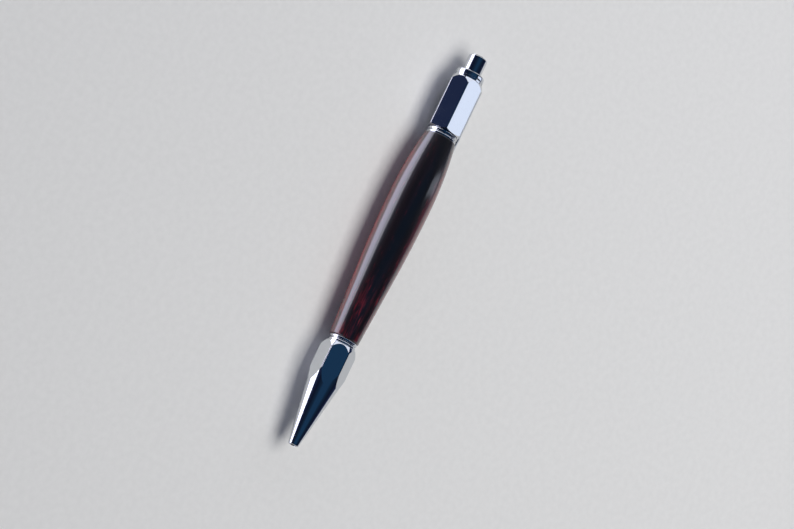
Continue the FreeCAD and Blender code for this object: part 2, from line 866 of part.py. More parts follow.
def make_return_spring():
    """The coil spring between the seat in the nose and the refill's shoulder."""
    room = size.refill_retract + shoulder_place - size.spring_seat_depth - size.face_gap
    height = room - size.spring_wire_radius * 2
    path = doc.addObject("Part::Helix", "spring_path")
    path.setExpression("Radius", size.spring_coil_radius.text)
    path.setExpression("Height", height.text)
    path.setExpression("Pitch", (height / size.spring_turns).text)
    wire = doc.addObject("Part::RegularPolygon", "spring_wire")
    wire.setExpression("Polygon", size.spring_wire_sides.text)
    wire.setExpression("Circumradius", size.spring_wire_radius.text)
    wire.Placement = FreeCAD.Placement(FreeCAD.Vector(0, 0, 0), FreeCAD.Rotation(X_AXIS, 90))
    wire.setExpression(".Placement.Base.x", size.spring_coil_radius.text)
    spring = doc.addObject("Part::Sweep", "return_spring")
    spring.Label = "return_spring"
    spring.Sections = [wire]
    spring.Spine = path
    spring.Solid = True
    spring.Frenet = True
    doc.recompute()
    along = FreeCAD.Rotation(Y_AXIS, 90)
    seat(spring, size.spring_seat_depth + size.spring_wire_radius, turn=along)
    return spring


def build():
    """Every sub-part, in order from the outside in."""
    make_sheet()
    front_length = size.thread_length + size.front_ring_length + size.coupling_grip
    rear_length = sleeve_flange_at - rear_coupling_at
    return [
        make_nose_cone(),
        make_trim_ring("front_trim_ring", size.front_ring_length, size.front_ring_radius, front_ring_at),
        make_coupling("front_coupling", front_length, front_coupling_at),
        make_wood_barrel(),
        make_barrel_tube(),
        make_trim_ring("rear_trim_ring", size.rear_ring_length, size.rear_ring_radius, rear_ring_at),
        make_coupling("rear_coupling", rear_length, rear_coupling_at),
        make_hex_cap(),
        make_clip_ring(),
        make_clip_arm(),
        make_collar(),
        make_push_button(),
        make_plunger(),
        make_cam_rotor(),
        make_cam_sleeve(),
        make_mechanism_nut(),
        make_refill_plug(),
        make_refill_tube(),
        make_ink_column(),
        make_refill_neck(),
        make_refill_point(),
        make_writing_ball(),
        make_return_spring(),
    ]


def check(pieces):
    """Stop if any object failed to rebuild, or if a sub-part isn't one or more whole solids."""
    for thing in doc.Objects:
        if "Invalid" in thing.State or "Error" in thing.State:
            raise RuntimeError(f"{thing.Label} failed: {thing.State}")
    for piece in pieces:
        shape = piece.Shape
        if shape.isNull() or not shape.isValid() or not shape.Solids:
            raise RuntimeError(f"{piece.Label} is not a valid solid")


def export(pieces):
    os.makedirs("parts", exist_ok=True)
    for piece in pieces:
        piece.Shape.exportStep(f"parts/{piece.Label}.step")


pieces = build()
doc.recompute()
check(pieces)
export(pieces)
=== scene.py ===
"""A push-button ball pen: a turned, lacquered hardwood barrel between hexagonal chromed fittings.

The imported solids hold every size. The outside pieces are made again here with finer edges and smooth
curves, each in the place of the solid that it replaces. Of the pieces inside, only the return spring is
made again, and the others keep their solids.
"""

import json
import math

import bmesh
import bpy
from mathutils import Matrix, Vector


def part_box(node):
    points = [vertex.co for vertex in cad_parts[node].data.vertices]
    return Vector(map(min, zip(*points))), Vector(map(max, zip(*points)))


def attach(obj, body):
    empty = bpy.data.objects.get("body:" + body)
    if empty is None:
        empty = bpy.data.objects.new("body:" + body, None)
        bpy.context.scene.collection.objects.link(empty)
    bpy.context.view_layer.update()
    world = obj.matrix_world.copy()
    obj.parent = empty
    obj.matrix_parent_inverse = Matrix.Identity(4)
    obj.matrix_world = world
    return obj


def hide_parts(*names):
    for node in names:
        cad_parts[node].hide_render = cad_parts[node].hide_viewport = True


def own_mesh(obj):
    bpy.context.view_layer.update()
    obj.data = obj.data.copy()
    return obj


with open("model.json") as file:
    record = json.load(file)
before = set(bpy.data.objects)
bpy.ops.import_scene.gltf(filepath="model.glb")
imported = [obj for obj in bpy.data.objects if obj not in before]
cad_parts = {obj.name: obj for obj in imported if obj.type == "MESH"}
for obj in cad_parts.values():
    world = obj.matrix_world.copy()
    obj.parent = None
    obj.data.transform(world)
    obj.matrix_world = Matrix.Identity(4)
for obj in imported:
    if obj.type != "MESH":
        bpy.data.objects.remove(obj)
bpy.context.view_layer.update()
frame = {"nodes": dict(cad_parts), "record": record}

MM = 0.001

# The pen's axis, and where each outside piece starts and ends along X, from the solids.
wood_low, wood_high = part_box("wood_barrel")
AXIS = (wood_low + wood_high) / 2
BELLY = (wood_high.z - wood_low.z) / 2

# Sizes of the outside pieces, in millimetres. Radii are named for the feature that they belong to.
SLIP = 0.05                 # clearance where pieces seat or slide
BORE = 3.9                  # where the couplings pass through rings, nose and cap

FLATS = 10.4                # both hexagons, across flats
RIDGE_EASE = 0.09           # what the turning takes off a sharp ridge
FACE_EASE = 0.08            # how far the end bevels stop inside the flats
RIDGE_ROUND = 0.12          # polishing round on the hexagons' ridges
RIDGE = FLATS / 2 / math.cos(math.radians(30)) - RIDGE_EASE
NOSE_ROLL, CLIP_ROLL = -21, 127     # degrees from upright, toward -Y

NOSE_TIP, NOSE_OPENING = 1.75, 1.25
NOSE_LIP, NOSE_CONE = 0.3, 24.8     # where the cone starts, and where it would reach the ridges
NOSE_BEVEL = 1.9            # length of the bevel at the rear
TIP_ROUND, TIP_ROUND_MIDDLE = 0.25, 0.08    # the tip's outer round, drawn as two short slopes
MOUTH_DEPTH, MOUTH_FLARE = 0.15, 0.1        # the opening's small countersink
NOSE_THREAD = 7.3           # depth of the threaded hole for the front coupling
NOSE_WIDE, NOSE_SHOULDER = 3.15, 17.7       # the wide bore, and where it ends
NOSE_NARROW, NOSE_SEAT = 2.5, 9     # the spring's bore, and where the spring seats

WOOD_FRONT, WOOD_REAR = 4.9, 5.35
WOOD_TAPER, WOOD_BELLY = 24.8, 49.2         # where the straight taper ends, and the widest place
WOOD_EDGE, WOOD_BORE = 0.15, 4.2    # bevel on both rims, and the hole for the tube

FRONT_RING, REAR_RING = 4.35, 4.8
RING_LIP = 0.25             # how far below the ring's radius its two lips end
BEAD_FOOT, BEAD_RISE = 0.12, 0.3    # where a bead starts below that radius, and how far it stands over it
BEAD_WIDTH = 0.94           # share of its place that a bead fills, which leaves the groove

CAP_FRONT_BEVEL, CAP_REAR_BEVEL = 0.5, 1.7
CAP_RECESS, CAP_MOUTH = 4.25, 0.08          # the collar's seat, and its small countersink
CAP_WIDE, CAP_THREAD = 3.75, 7.3    # the mechanism's bore, and the threaded hole's depth

COLLAR, COLLAR_EASE = 4.75, 0.25
COLLAR_FLANGE, COLLAR_SPIGOT = 1.7, 4.2     # the flange's length, and what enters the cap
COLLAR_BORE, COLLAR_WIDE, COLLAR_STEP = 3.25, 3.65, 1.25
COLLAR_ROUND = 0.09

BUTTON, BUTTON_BEVEL, BUTTON_CROWN = 3.15, 0.55, 0.12
BUTTON_FLANGE, FLANGE_LENGTH = 3.55, 1
BUTTON_HOLE, BUTTON_HOLE_DEPTH = 1.55, 6.6
BUTTON_ROUND = 0.18

CLIP_OUTER, CLIP_SHEET, CLIP_WIDTH, CLIP_EAR = 9.0, 0.9, 4.2, 6.6
CLIP_FOOT, CLIP_FOOT_WIDTH = 3.6, 3.2
CLIP_BEND, CLIP_RIM = 0.7, 0.18     # radius of its bends, and of its rounded edges

SPRING_TURNS, COIL, WIRE = 8.0, 1.8, 0.2    # radii of the coil and of its wire
CLOSED_PITCH = 2.1          # pitch of the end turns, in radii of the wire

# How fine the meshes are.
COLUMNS = 40                # on each side of a hexagon, closest together at the ridges
CONE_ROWS, FLAT_ROWS = 60, 12
WOOD_ROWS, WOOD_COLUMNS = 150, 192
TURNED_COLUMNS = 128        # round each ring, the collar and the button
BEAD_ROWS = 12
COIL_STEPS, WIRE_SIDES = 32, 12

PAINTED_GLOW_TURN = 27             # turn from upright, toward +Y, in degrees, of the side that faces the camera, where the wood stays near black between the painted red glow at its edges


# ---------------------------------------------------------------- meshes

def as_mesh(bm, name):
    """Turn a bmesh into a mesh and let it go."""
    mesh = bpy.data.meshes.new(name)
    bm.to_mesh(mesh)
    bm.free()
    return mesh


def finish_piece(name, mesh, material, body, node, sharp=30.0):
    """Link a mesh as a piece that rides on a body and stands for a solid.

    Edges past the sharp angle, in degrees, stay crisp. An angle of 0 keeps the edges that are marked.
    """
    mesh.name = name
    mesh.materials.clear()
    mesh.materials.append(material)
    for face in mesh.polygons:
        face.use_smooth = True
    if sharp:
        mesh.set_sharp_from_angle(angle=math.radians(sharp))
    piece = bpy.data.objects.new(name, mesh)
    bpy.context.scene.collection.objects.link(piece)
    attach(piece, body)
    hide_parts(node)
    return piece


def rounded(points, radius, steps=4):
    """The outline with each corner turned into an arc of the radius, in millimetres."""
    out = []
    for i, (x, r) in enumerate(points):
        here = Vector((x, r))
        before = Vector(points[i - 1]) - here
        after = Vector(points[(i + 1) % len(points)]) - here
        angle = before.angle(after)
        cut = min(radius / math.tan(angle / 2), before.length * 0.45, after.length * 0.45)
        if cut < 1e-4 or math.pi - angle < math.radians(4):
            out.append((x, r))
            continue
        first = here + before.normalized() * cut
        last = here + after.normalized() * cut
        for k in range(steps + 1):
            t = k / steps
            bent = first.lerp(here, t).lerp(here.lerp(last, t), t)
            out.append((bent.x, bent.y))
    return out


def lathe(outline, start_x, segments):
    """Spin a closed outline of (along, radius) millimetres about the pen's axis.

    Points on the axis close up.
    """
    bm = bmesh.new()
    rings = []
    for x, r in outline:
        place = Vector((start_x + x * MM, AXIS.y, AXIS.z))
        if r < 1e-6:
            rings.append([bm.verts.new(place)] * segments)
            continue
        ring = []
        for k in range(segments):
            a = 2 * math.pi * k / segments
            ring.append(bm.verts.new(place + Vector((0, math.sin(a), math.cos(a))) * r * MM))
        rings.append(ring)
    for i in range(len(rings)):
        one, two = rings[i], rings[(i + 1) % len(rings)]
        for k in range(segments):
            n = (k + 1) % segments
            corners = []
            for v in (one[k], one[n], two[n], two[k]):
                if v not in corners:
                    corners.append(v)
            if len(corners) > 2:
                bm.faces.new(corners)
    bmesh.ops.recalc_face_normals(bm, faces=bm.faces)
    return as_mesh(bm, "turned")


def hexagon_radius(turn):
    """How far the hexagon's skin is from the axis, at a turn in degrees from the middle of a flat."""
    off = math.radians((turn + 30) % 60 - 30)
    flat = FLATS / 2 / math.cos(off)
    centre = (FLATS / 2 - RIDGE_ROUND) / math.cos(math.radians(30))
    aside = math.radians(30) - abs(off)
    inside = RIDGE_ROUND**2 - (centre * math.sin(aside)) ** 2
    if inside < 0:
        return flat
    arc = centre * math.cos(aside) + math.sqrt(inside)
    return min(flat, arc, RIDGE)


def hexagonal_mesh(start_x, roll, front, rear, inside):
    """A hexagonal bar turned down at both ends, from two slopes and the bore's outline, all in millimetres.

    Each slope is ((along, radius), (along, radius)) and stops where it meets the hexagon's skin, so
    the curved edges between cone and flats are one clean line. The slopes' outer ends start and end
    the bore's outline.
    """
    turns = []
    for side in range(6):
        for step in range(COLUMNS):
            t = step / COLUMNS * 2 - 1
            turns.append(60 * side + 30 * (1 - (1 - abs(t)) ** 2) * (1 if t > 0 else -1))
    bm = bmesh.new()

    def ring(points):
        out = []
        for turn, (x, r) in zip(turns, points):
            a = math.radians(turn - roll)
            y, z = AXIS.y + r * MM * math.sin(a), AXIS.z + r * MM * math.cos(a)
            out.append(bm.verts.new((start_x + x * MM, y, z)))
        return out

    def meeting(slope, radius):
        (x1, r1), (x2, r2) = slope
        return x1 + (x2 - x1) * (radius - r1) / (r2 - r1)

    skin = [hexagon_radius(turn) for turn in turns]
    first = [(meeting(front, r), r) for r in skin]
    last = [(meeting(rear, r), r) for r in skin]
    rings, sharp = [], [0]
    tip_x, tip_r = front[0]
    for k in range(CONE_ROWS):
        t = k / CONE_ROWS
        rings.append(ring([(tip_x + (x - tip_x) * t, tip_r + (r - tip_r) * t) for x, r in first]))
    sharp.append(len(rings))
    for k in range(FLAT_ROWS + 1):
        t = k / FLAT_ROWS
        rings.append(ring([(a[0] + (b[0] - a[0]) * t, a[1]) for a, b in zip(first, last)]))
    sharp.append(len(rings) - 1)
    end = rear[1]
    rings.append(ring([((m[0] + end[0]) / 2, (m[1] + end[1]) / 2) for m in last]))
    for point in [end] + inside:
        rings.append(ring([point] * len(turns)))
        sharp.append(len(rings) - 1)
    count = len(turns)
    for i, one in enumerate(rings):
        two = rings[(i + 1) % len(rings)]
        for k in range(count):
            n = (k + 1) % count
            bm.faces.new((one[k], one[n], two[n], two[k]))
    bm.edges.ensure_lookup_table()
    for i in sharp:
        for k in range(count):
            bm.edges.get((rings[i][k], rings[i][(k + 1) % count])).smooth = False
    bmesh.ops.recalc_face_normals(bm, faces=bm.faces)
    return as_mesh(bm, "hexagonal")


# ---------------------------------------------------------------- materials

def linear(code):
    """An sRGB hex colour as linear RGBA."""
    parts = [int(code[i : i + 2], 16) / 255 for i in (1, 3, 5)]
    return tuple(c / 12.92 if c <= 0.04045 else ((c + 0.055) / 1.055) ** 2.4 for c in parts) + (1.0,)


def add(tree, kind, inputs=None, **settings):
    """Add a shader node with its settings, and set or link its inputs."""
    made = tree.nodes.new(kind)
    for key, value in settings.items():
        setattr(made, key, value)
    for key, value in (inputs or {}).items():
        if isinstance(value, bpy.types.NodeSocket):
            tree.links.new(value, made.inputs[key])
        else:
            made.inputs[key].default_value = value
    return made


def new_material(name):
    """A material with a Principled shader, its tree and its Object coordinates."""
    material = bpy.data.materials.new(name)
    material.use_nodes = True
    tree = material.node_tree
    shader = tree.nodes["Principled BSDF"]
    place = add(tree, "ShaderNodeTexCoord").outputs["Object"]
    return material, tree, shader, place


def ramp(tree, factor, stops):
    """A colour ramp through (position, hex colour) stops."""
    made = add(tree, "ShaderNodeValToRGB", {"Fac": factor})
    band = made.color_ramp
    while len(band.elements) < len(stops):
        band.elements.new(0.5)
    for element, (position, code) in zip(band.elements, stops):
        element.position = position
        element.color = linear(code)
    return made.outputs["Color"]


def metal(name, code, roughness, scratch_mm, scratch_depth, spread=0.03):
    """A bare or plated metal. Its roughness varies in patches, and fine lines run round from lathe or buff.

    The eye gets sharp reflections from a low roughness, which the lines only just break up.
    """
    material, tree, shader, place = new_material(name)
    shader.inputs["Base Color"].default_value = linear(code)
    shader.inputs["Metallic"].default_value = 1.0
    patches = add(tree, "ShaderNodeTexNoise", {"Vector": place, "Scale": 1 / (6 * MM), "Detail": 3.0})
    level = add(tree, "ShaderNodeMapRange", {
        "Value": patches.outputs["Fac"], "From Min": 0.35, "From Max": 0.65,
        "To Min": max(roughness - spread, 0.02), "To Max": roughness + spread,
    })
    tree.links.new(level.outputs["Result"], shader.inputs["Roughness"])
    stretched = add(tree, "ShaderNodeMapping", {"Vector": place, "Scale": (1.0, 0.06, 0.06)})
    lines = add(tree, "ShaderNodeTexNoise", {
        "Vector": stretched.outputs["Vector"], "Scale": 1 / (scratch_mm * MM), "Detail": 2.0,
    })
    bump = add(tree, "ShaderNodeBump", {
        "Height": lines.outputs["Fac"], "Strength": 1.0, "Distance": scratch_depth * MM,
    })
    tree.links.new(bump.outputs["Normal"], shader.inputs["Normal"])
    return material


def calculate(tree, operation, *values):
    """A number worked out from others."""
    return add(tree, "ShaderNodeMath", dict(enumerate(values)), operation=operation).outputs["Value"]


def spread_over(tree, value, low, high, start=0.0, end=1.0):
    """A number that goes from start to end, without corners, while the value goes from low to high."""
    return add(tree, "ShaderNodeMapRange", {
        "Value": value, "From Min": low, "From Max": high, "To Min": start, "To Max": end,
    }, interpolation_type="SMOOTHSTEP").outputs["Result"]


def lacquered_hardwood():
    """Rosewood under a thick buffed lacquer, near black and going wine red towards the nose, with wine red
    painted towards the edges that the camera sees edge on as a painted red glow, so that a near black band
    stays along the side facing the camera.

    The lacquer gives the eye a sharp highlight over the grain, which stays soft and deep under it.
    """
    material, tree, shader, place = new_material("lacquered_rosewood")
    # The wood stays near black along the side that faces the camera; the wine red spread out to each side of
    # it is painted glow.
    band_turn = math.radians(PAINTED_GLOW_TURN)
    through = Vector((0, -math.cos(band_turn), math.sin(band_turn)))
    dot = add(tree, "ShaderNodeVectorMath", {0: place, 1: through}, operation="DOT_PRODUCT")
    reach = dot.outputs["Value"]
    from_facing_band = calculate(tree, "ABSOLUTE", calculate(tree, "SUBTRACT", reach, through.dot(AXIS) + 0.4 * MM))
    drawn = add(tree, "ShaderNodeMapping", {"Vector": place, "Scale": (0.05, 1.0, 1.0)}).outputs["Vector"]
    waver = add(tree, "ShaderNodeTexNoise", {
        "Vector": drawn, "Scale": 1 / (3 * MM), "Detail": 3.0, "Distortion": 0.5,
    }).outputs["Fac"]
    streak = add(tree, "ShaderNodeTexNoise", {
        "Vector": drawn, "Scale": 1 / (0.6 * MM), "Detail": 3.0, "Roughness": 0.7,
    }).outputs["Fac"]
    # Painted red glow: red grows from the band that faces the camera out to the edges that it sees edge on.
    beside = spread_over(tree, from_facing_band, 3.0 * MM, 7.4 * MM, 0.0, 0.62)
    ahead = add(tree, "ShaderNodeSeparateXYZ", {"Vector": place}).outputs["X"]
    to_nose = spread_over(tree, ahead, 5 * MM, -34 * MM, 0.0, 0.5)
    red = calculate(tree, "MULTIPLY_ADD", to_nose, spread_over(tree, streak, 0.4, 0.62), beside)
    red = calculate(tree, "MULTIPLY_ADD", calculate(tree, "SUBTRACT", waver, 0.5), 0.9, red)
    red = calculate(tree, "MULTIPLY_ADD", calculate(tree, "SUBTRACT", streak, 0.5), 0.35, red)
    stretched = add(tree, "ShaderNodeMapping", {"Vector": place, "Scale": (0.14, 1.0, 1.0)}).outputs["Vector"]
    pores = add(tree, "ShaderNodeTexVoronoi", {"Vector": stretched, "Scale": 1 / (0.7 * MM)})
    pits = pores.outputs["Distance"]
    red = calculate(tree, "ADD", red, spread_over(tree, pits, 0.3, 0.1, 0.0, 0.3))
    # The ramp's wine reds carry the wood's own tone and also the painted red glow at the edges.
    grain = ramp(tree, red, [
        (0.0, "#0B0707"), (0.22, "#1A0B0D"), (0.42, "#421219"), (0.62, "#66181F"), (0.85, "#862726"),
    ])
    pore = ramp(tree, pits, [(0.05, "#5C4A44"), (0.12, "#FFFFFF")])
    dark = add(tree, "ShaderNodeMix", {
        "Factor": 0.75, "A": grain, "B": pore,
    }, data_type="RGBA", blend_type="MULTIPLY")
    tree.links.new(dark.outputs["Result"], shader.inputs["Base Color"])
    shader.inputs["Roughness"].default_value = 0.38
    shader.inputs["IOR"].default_value = 1.45
    shader.inputs["Coat Weight"].default_value = 1.0
    shader.inputs["Coat Roughness"].default_value = 0.12
    shader.inputs["Coat IOR"].default_value = 1.75
    ripple = add(tree, "ShaderNodeTexNoise", {"Vector": place, "Scale": 1 / (5 * MM), "Detail": 2.0})
    skin = add(tree, "ShaderNodeBump", {
        "Height": ripple.outputs["Fac"], "Strength": 0.4, "Distance": 0.02 * MM,
    })
    tree.links.new(skin.outputs["Normal"], shader.inputs["Coat Normal"])
    sunk = add(tree, "ShaderNodeBump", {"Height": pits, "Strength": 0.6, "Distance": 0.02 * MM})
    tree.links.new(sunk.outputs["Normal"], shader.inputs["Normal"])
    return material


def moulded(name, code, second, roughness):
    """A moulded plastic: two close tones in soft flow patches and a fine spark-eroded skin."""
    material, tree, shader, place = new_material(name)
    flow = add(tree, "ShaderNodeTexNoise", {"Vector": place, "Scale": 1 / (4 * MM), "Detail": 2.0})
    tone = ramp(tree, flow.outputs["Fac"], [(0.35, code), (0.65, second)])
    tree.links.new(tone, shader.inputs["Base Color"])
    shader.inputs["Roughness"].default_value = roughness
    grit = add(tree, "ShaderNodeTexNoise", {"Vector": place, "Scale": 1 / (0.15 * MM)})
    skin = add(tree, "ShaderNodeBump", {
        "Height": grit.outputs["Fac"], "Strength": 0.5, "Distance": 0.01 * MM,
    })
    tree.links.new(skin.outputs["Normal"], shader.inputs["Normal"])
    return material


chrome_plate = metal("chromed_brass", "#D3D6DA", 0.045, 0.12, 0.0006, spread=0.02)
chromed_spring = metal("chromed_spring_steel", "#CDD0D4", 0.06, 0.12, 0.0008)
wood_finish = lacquered_hardwood()
finishes = {
    "brass_bush": metal("machined_brass", "#D8AE5E", 0.22, 0.18, 0.004, spread=0.06),
    "brass_tube": metal("drawn_brass", "#DDB765", 0.28, 0.3, 0.003, spread=0.06),
    "refill_steel": metal("drawn_stainless_steel", "#C4C5C6", 0.24, 0.2, 0.003, spread=0.05),
    "nickel_silver": metal("turned_nickel_silver", "#CBC5B2", 0.2, 0.08, 0.002, spread=0.05),
    "carbide": metal("polished_carbide", "#77787C", 0.08, 0.05, 0.0002, spread=0.02),
    "spring_steel": metal("drawn_spring_steel", "#B9BABE", 0.18, 0.1, 0.001, spread=0.05),
    "mechanism_plastic": moulded("black_acetal", "#17181A", "#202124", 0.38),
    "white_acetal": moulded("natural_acetal", "#E4E2D8", "#D8D6CB", 0.42),
    "plug_plastic": moulded("blue_polyethylene", "#1D2F7A", "#24388A", 0.5),
    "ink": moulded("paste_ink", "#0A1238", "#0C1747", 0.15),
    "chromed_brass": chrome_plate,
    "chromed_steel": chromed_spring,
    "lacquered_hardwood": wood_finish,
}


def dress_solids():
    """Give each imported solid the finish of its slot."""
    for entry in frame["record"]["subparts"]:
        solid = frame["nodes"][entry["node"]]
        for socket in solid.material_slots:
            socket.material = finishes[entry["material_slot"]]


# ---------------------------------------------------------------- pieces

def span(node):
    """Where a node starts along X, in metres, and how long it is, in millimetres."""
    low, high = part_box(node)
    return low.x, (high.x - low.x) / MM


def wood_radius(x):
    """The barrel's radius: a straight taper into a long round to the belly, then a shorter round down."""
    belly = BELLY / MM
    if x > WOOD_BELLY:
        run, drop = span("wood_barrel")[1] - WOOD_BELLY, belly - WOOD_REAR
        round_radius = (run**2 + drop**2) / (2 * drop)
    else:
        run, rise = WOOD_BELLY - WOOD_TAPER, belly - WOOD_FRONT
        round_radius = (run**2 / 2 + run * WOOD_TAPER) / rise
        join = belly - round_radius + math.sqrt(round_radius**2 - run**2)
        if x < WOOD_TAPER:
            return WOOD_FRONT + (join - WOOD_FRONT) * x / WOOD_TAPER
    return belly - round_radius + math.sqrt(round_radius**2 - (x - WOOD_BELLY) ** 2)


def make_wood():
    """The turned barrel, with a small bevel on both rims."""
    start, length = span("wood_barrel")
    outline = [(0.0, WOOD_BORE), (0.0, WOOD_FRONT - WOOD_EDGE)]
    for k in range(WOOD_ROWS + 1):
        x = WOOD_EDGE + (length - 2 * WOOD_EDGE) * k / WOOD_ROWS
        outline.append((x, wood_radius(x)))
    outline += [(length, WOOD_REAR - WOOD_EDGE), (length, WOOD_BORE)]
    mesh = lathe(outline, start, WOOD_COLUMNS)
    finish_piece("wood_barrel_turned", mesh, wood_finish, "barrel", "wood_barrel")


def make_ring(node, radius):
    """Two half-round beads with a sharp groove between them, and a fine lip at each side."""
    start, length = span(node)
    place = length / 2
    outline = [(0, BORE), (0, radius - RING_LIP)]
    for bead in (0, 1):
        for k in range(BEAD_ROWS + 1):
            a = math.pi * k / BEAD_ROWS
            x = bead * place + place / 2 * (1 - BEAD_WIDTH * math.cos(a))
            outline.append((x, radius - BEAD_FOOT + (BEAD_RISE + BEAD_FOOT) * math.sin(a)))
    outline += [(2 * place, radius - RING_LIP), (2 * place, BORE)]
    mesh = lathe(outline, start, TURNED_COLUMNS)
    finish_piece(f"{node}_turned", mesh, chrome_plate, "barrel", node)


def make_nose():
    """The hexagonal nose, turned to a cone that cuts the flats in long curves."""
    start, length = span("nose_cone")
    end = (length, FLATS / 2 - FACE_EASE)
    mesh = hexagonal_mesh(
        start, NOSE_ROLL,
        ((NOSE_LIP, NOSE_TIP), (NOSE_CONE, RIDGE)),
        ((length - NOSE_BEVEL, RIDGE), end),
        [
            (length, BORE + SLIP),
            (length - NOSE_THREAD, BORE + SLIP),
            (length - NOSE_THREAD, NOSE_WIDE),
            (NOSE_SHOULDER, NOSE_WIDE),
            (NOSE_SHOULDER, NOSE_NARROW),
            (NOSE_SEAT, NOSE_NARROW),
            (NOSE_SEAT, NOSE_OPENING),
            (MOUTH_DEPTH, NOSE_OPENING),
            (0, NOSE_OPENING + MOUTH_FLARE),
            (0, NOSE_TIP - TIP_ROUND),
            (TIP_ROUND_MIDDLE, NOSE_TIP - TIP_ROUND_MIDDLE),
        ],
    )
    finish_piece("nose_cone_turned", mesh, chrome_plate, "nose", "nose_cone", 0)


def make_cap():
    """The hexagonal cap, bevelled at both ends, with a recess that the collar seats in."""
    start, length = span("hex_cap")
    face = FLATS / 2 - FACE_EASE
    recess = (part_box("collar")[0].x - start) / MM - SLIP
    mesh = hexagonal_mesh(
        start, CLIP_ROLL,
        ((0, face), (CAP_FRONT_BEVEL, RIDGE)),
        ((length - CAP_REAR_BEVEL, RIDGE), (length, face)),
        [
            (length, CAP_RECESS + SLIP),
            (length - CAP_MOUTH, CAP_RECESS),
            (recess, CAP_RECESS),
            (recess, CAP_WIDE),
            (CAP_THREAD, CAP_WIDE),
            (CAP_THREAD, BORE + SLIP),
            (0, BORE + SLIP),
        ],
    )
    finish_piece("hex_cap_turned", mesh, chrome_plate, "barrel", "hex_cap", 0)


def make_collar():
    """The collar round the button: a spigot in the cap and a bevelled flange on it."""
    start, length = span("collar")
    flange = length - COLLAR_FLANGE
    outline = rounded([
        (0, COLLAR_WIDE),
        (0, COLLAR_SPIGOT),
        (flange, COLLAR_SPIGOT),
        (flange, COLLAR),
        (length - COLLAR_EASE, COLLAR),
        (length, COLLAR - COLLAR_EASE),
        (length, COLLAR_BORE),
        (COLLAR_STEP, COLLAR_BORE),
        (COLLAR_STEP, COLLAR_WIDE),
    ], COLLAR_ROUND)
    mesh = lathe(outline, start, TURNED_COLUMNS)
    finish_piece("collar_turned", mesh, chrome_plate, "barrel", "collar")


def make_button():
    """The push button: a flange that stays inside the collar, a bevelled end and a slightly domed crown."""
    start, length = span("push_button")
    crown = BUTTON - BUTTON_BEVEL
    outline = rounded([
        (0, BUTTON_HOLE),
        (0, BUTTON_FLANGE),
        (FLANGE_LENGTH, BUTTON_FLANGE),
        (FLANGE_LENGTH, BUTTON),
        (length - BUTTON_BEVEL, BUTTON),
        (length - BUTTON_CROWN, crown),
    ], BUTTON_ROUND)[:-1]
    for t in (0, 0.25, 0.5, 0.75):
        outline.append((length - BUTTON_CROWN * (1 - t * t), crown * math.sqrt(1 - t)))
    outline += [(length, 0), (BUTTON_HOLE_DEPTH, 0), (BUTTON_HOLE_DEPTH, BUTTON_HOLE)]
    mesh = lathe(outline, start, TURNED_COLUMNS)
    finish_piece("push_button_turned", mesh, chrome_plate, "button", "push_button")


def make_clip():
    """The clip's arm, one pressed strip.

    Its foot dips to the wood and turns up, and its root folds down to the ear.
    """
    start, root = span("clip_arm")
    wood_start = span("wood_barrel")[0]
    inner = CLIP_OUTER - CLIP_SHEET
    foot = wood_radius((start - wood_start) / MM + CLIP_FOOT) + 2 * SLIP
    half = CLIP_FOOT_WIDTH / 2
    side = rounded([
        (0, inner),
        (CLIP_FOOT - half, foot),
        (CLIP_FOOT + half, foot),
        (CLIP_FOOT * 2 + half, inner),
        (root - CLIP_SHEET, inner),
        (root - CLIP_SHEET, CLIP_EAR + SLIP),
        (root, CLIP_EAR + SLIP),
        (root, CLIP_OUTER),
        (CLIP_FOOT * 2 + half, CLIP_OUTER),
        (CLIP_FOOT + half, foot + CLIP_SHEET),
        (CLIP_FOOT - half, foot + CLIP_SHEET),
        (0, CLIP_OUTER),
    ], CLIP_BEND, 6)
    roll = math.radians(CLIP_ROLL)
    out = Vector((0, -math.sin(roll), math.cos(roll)))
    aside = Vector((0, math.cos(roll), math.sin(roll)))
    bm = bmesh.new()
    faces = []
    for edge in (-CLIP_WIDTH / 2, CLIP_WIDTH / 2):
        ring = []
        for x, r in side:
            place = Vector((start + x * MM, AXIS.y, AXIS.z))
            ring.append(bm.verts.new(place + out * r * MM + aside * edge * MM))
        faces.append(ring)
    count = len(side)
    for k in range(count):
        n = (k + 1) % count
        bm.faces.new((faces[0][k], faces[0][n], faces[1][n], faces[1][k]))
    ends = [bm.faces.new(ring) for ring in faces]
    bmesh.ops.recalc_face_normals(bm, faces=bm.faces)
    rims = list({edge for face in ends for edge in face.edges})
    bmesh.ops.bevel(bm, geom=rims, offset=CLIP_RIM * MM, segments=4, profile=0.5, affect="EDGES")
    mesh = as_mesh(bm, "strip")
    finish_piece("clip_arm_pressed", mesh, chromed_spring, "clip", "clip_arm")


